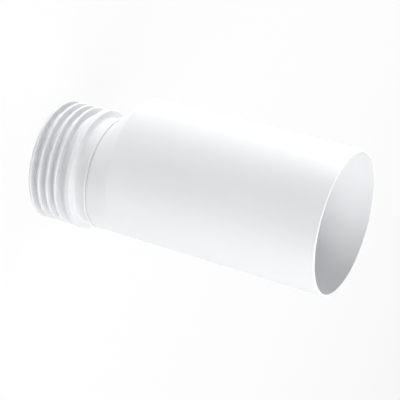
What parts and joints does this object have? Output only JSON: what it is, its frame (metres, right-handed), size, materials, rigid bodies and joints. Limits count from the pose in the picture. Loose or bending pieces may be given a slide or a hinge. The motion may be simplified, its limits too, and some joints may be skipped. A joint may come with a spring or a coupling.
{
  "type": "offset pan connector extension",
  "caption": "White offset extension for a toilet pan connector: a plain open tube, a slanted reducer and a smaller soft finned end set to one side.",
  "frame": {"origin": "centre of the flat face at the finned end, on the axis of the seal and the outlet; the part stands on this face", "axes": "+Z along the pipe from the finned end to the open mouth; +X the way the finned end is set off from the axis of the plain tube"},
  "size_m": [0.1125, 0.11, 0.238],
  "materials": {
    "body_plastic": "smooth injection-moulded white polypropylene, semi-gloss",
    "seal_elastomer": "moulded white thermoplastic elastomer, satin"
  },
  "bodies": {
    "root": {"pipe_body": "body_plastic", "finned_seal": "seal_elastomer"}
  },
  "joints": []
}
